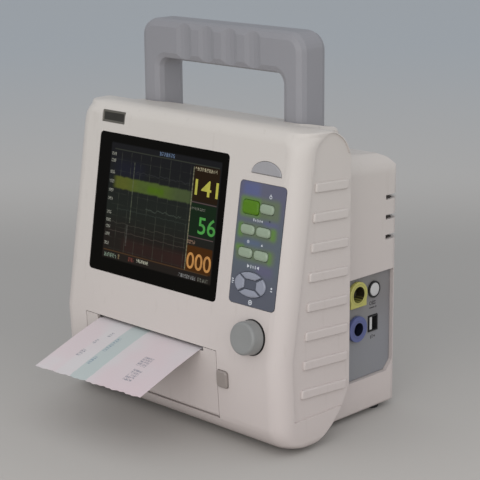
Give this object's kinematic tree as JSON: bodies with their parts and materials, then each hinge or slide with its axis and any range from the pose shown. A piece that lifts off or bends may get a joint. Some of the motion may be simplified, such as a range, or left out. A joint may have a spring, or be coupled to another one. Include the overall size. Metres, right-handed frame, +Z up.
{
  "type": "fetal heart monitor",
  "caption": "Bench fetal heart and contraction monitor with a leaning screen front, keypad, selector knob, built-in strip recorder, side transducer sockets and a top carrying handle.",
  "frame": {"origin": "centre of the footprint on the table, level with the soles of the feet", "axes": "+X to the right as seen from the front, +Y to the rear, +Z up"},
  "size_m": [0.2372, 0.2276, 0.294],
  "materials": {
    "ivory_plastic": "fine textured moulding, satin",
    "grey_handle": "satin, slightly purple grey",
    "knob_grey": "satin",
    "latch_grey": "satin",
    "window_black": "gloss black window",
    "display_module": "display module",
    "dark_plate": "bare dark plate",
    "lamp_grey": "frosted",
    "keypad_slate": "membrane overlay",
    "key_green": "silicone key",
    "key_pale": "silicone key",
    "key_slate": "silicone key",
    "board_green": "circuit board with its parts",
    "steel": "bright sheet and turned steel",
    "brass": "turned",
    "black_plastic": "satin black",
    "rubber": "matt",
    "gear_white": "acetal",
    "paper": "thermal paper",
    "plate_grey": "satin",
    "socket_yellow": "satin",
    "socket_blue": "satin",
    "white_plastic": "satin",
    "battery_blue": "shrink film"
  },
  "bodies": {
    "housing": {"front_housing": "ivory_plastic", "rear_housing": "ivory_plastic", "carrying_handle": "grey_handle", "display_window": "window_black", "display_panel": "display_module", "display_bracket": "steel", "main_board": "board_green", "face_plate": "dark_plate", "alarm_lamp": "lamp_grey", "keypad_panel": "keypad_slate", "key_board": "board_green", "encoder_body": "steel", "stepper_motor": "steel", "recorder_chassis": "steel", "print_head": "black_plastic", "paper_pack": "paper", "paper_strip": "paper", "connector_plate": "plate_grey", "ultrasound_socket": "socket_yellow", "toco_socket": "socket_blue", "marker_port": "black_plastic", "marker_port_cap": "white_plastic", "data_port": "black_plastic", "data_port_tongue": "white_plastic", "power_supply": "board_green", "battery_pack": "battery_blue", "battery_cover": "ivory_plastic", "loudspeaker": "black_plastic", "mains_inlet": "black_plastic", "earth_stud": "brass", "foot_front_left": "rubber", "foot_front_right": "rubber", "foot_rear_left": "rubber", "foot_rear_right": "rubber", "case_screw_low_left": "steel", "case_screw_low_right": "steel", "case_screw_high_left": "steel", "case_screw_high_right": "steel"},
    "power_key_cap": {"power_key": "key_green"},
    "function_key_1_cap": {"function_key_1": "key_pale"},
    "function_key_2_cap": {"function_key_2": "key_pale"},
    "function_key_3_cap": {"function_key_3": "key_pale"},
    "function_key_4_cap": {"function_key_4": "key_pale"},
    "function_key_5_cap": {"function_key_5": "key_pale"},
    "cursor_right_key_cap": {"cursor_right_key": "key_slate"},
    "cursor_up_key_cap": {"cursor_up_key": "key_slate"},
    "cursor_left_key_cap": {"cursor_left_key": "key_slate"},
    "cursor_down_key_cap": {"cursor_down_key": "key_slate"},
    "knob_plunger": {"encoder_plunger": "white_plastic"},
    "knob": {"selector_knob": "knob_grey", "encoder_shaft": "steel"},
    "door": {"recorder_door": "ivory_plastic"},
    "platen": {"platen_shaft": "steel", "platen_roller": "rubber", "platen_gear": "gear_white"},
    "drive": {"drive_gear": "gear_white"},
    "latch": {"door_latch": "latch_grey"}
  },
  "joints": [
    {"name": "power_key_press", "type": "slide", "parent": "housing", "child": "power_key_cap", "axis": [0, 0.9874, -0.1582], "range_m": [0, 0.0008], "stiffness_N_per_m": 600, "springref_m": -0.001},
    {"name": "function_key_1_press", "type": "slide", "parent": "housing", "child": "function_key_1_cap", "axis": [0, 0.9874, -0.1582], "range_m": [0, 0.0008], "stiffness_N_per_m": 600, "springref_m": -0.001},
    {"name": "function_key_2_press", "type": "slide", "parent": "housing", "child": "function_key_2_cap", "axis": [0, 0.9874, -0.1582], "range_m": [0, 0.0008], "stiffness_N_per_m": 600, "springref_m": -0.001},
    {"name": "function_key_3_press", "type": "slide", "parent": "housing", "child": "function_key_3_cap", "axis": [0, 0.9874, -0.1582], "range_m": [0, 0.0008], "stiffness_N_per_m": 600, "springref_m": -0.001},
    {"name": "function_key_4_press", "type": "slide", "parent": "housing", "child": "function_key_4_cap", "axis": [0, 0.9874, -0.1582], "range_m": [0, 0.0008], "stiffness_N_per_m": 600, "springref_m": -0.001},
    {"name": "function_key_5_press", "type": "slide", "parent": "housing", "child": "function_key_5_cap", "axis": [0, 0.9874, -0.1582], "range_m": [0, 0.0008], "stiffness_N_per_m": 600, "springref_m": -0.001},
    {"name": "cursor_right_key_press", "type": "slide", "parent": "housing", "child": "cursor_right_key_cap", "axis": [0, 0.9874, -0.1582], "range_m": [0, 0.0008], "stiffness_N_per_m": 600, "springref_m": -0.001},
    {"name": "cursor_up_key_press", "type": "slide", "parent": "housing", "child": "cursor_up_key_cap", "axis": [0, 0.9874, -0.1582], "range_m": [0, 0.0008], "stiffness_N_per_m": 600, "springref_m": -0.001},
    {"name": "cursor_left_key_press", "type": "slide", "parent": "housing", "child": "cursor_left_key_cap", "axis": [0, 0.9874, -0.1582], "range_m": [0, 0.0008], "stiffness_N_per_m": 600, "springref_m": -0.001},
    {"name": "cursor_down_key_press", "type": "slide", "parent": "housing", "child": "cursor_down_key_cap", "axis": [0, 0.9874, -0.1582], "range_m": [0, 0.0008], "stiffness_N_per_m": 600, "springref_m": -0.001},
    {"name": "knob_push", "type": "slide", "parent": "housing", "child": "knob_plunger", "axis": [0, 0.9874, -0.1582], "range_m": [0, 0.0006], "stiffness_N_per_m": 1500, "springref_m": -0.0008},
    {"name": "knob_turn", "type": "hinge", "parent": "knob_plunger", "child": "knob", "pos_m": [0.0898, -0.05134, 0.08818], "axis": [0, -0.9874, 0.1582], "continuous": true},
    {"name": "door_hinge", "type": "hinge", "parent": "housing", "child": "door", "pos_m": [-0.016, -0.04337, 0.0214], "axis": [1, 0, 0], "range_deg": [0, 75], "deforming": ["paper_strip"]},
    {"name": "platen_spin", "type": "hinge", "parent": "door", "child": "platen", "pos_m": [-0.016, -0.03874, 0.061], "axis": [1, 0, 0], "continuous": true},
    {"name": "drive_spin", "type": "hinge", "parent": "housing", "child": "drive", "pos_m": [-0.079, -0.02794, 0.061], "axis": [1, 0, 0], "continuous": true},
    {"name": "latch_press", "type": "slide", "parent": "housing", "child": "latch", "axis": [0, 0.9986, 0.0523], "range_m": [0, 0.0015], "stiffness_N_per_m": 600, "springref_m": -0.001}
  ],
  "couplings": [
    {"joint": "drive_spin", "follows": "platen_spin", "ratio": -1.3333}
  ]
}
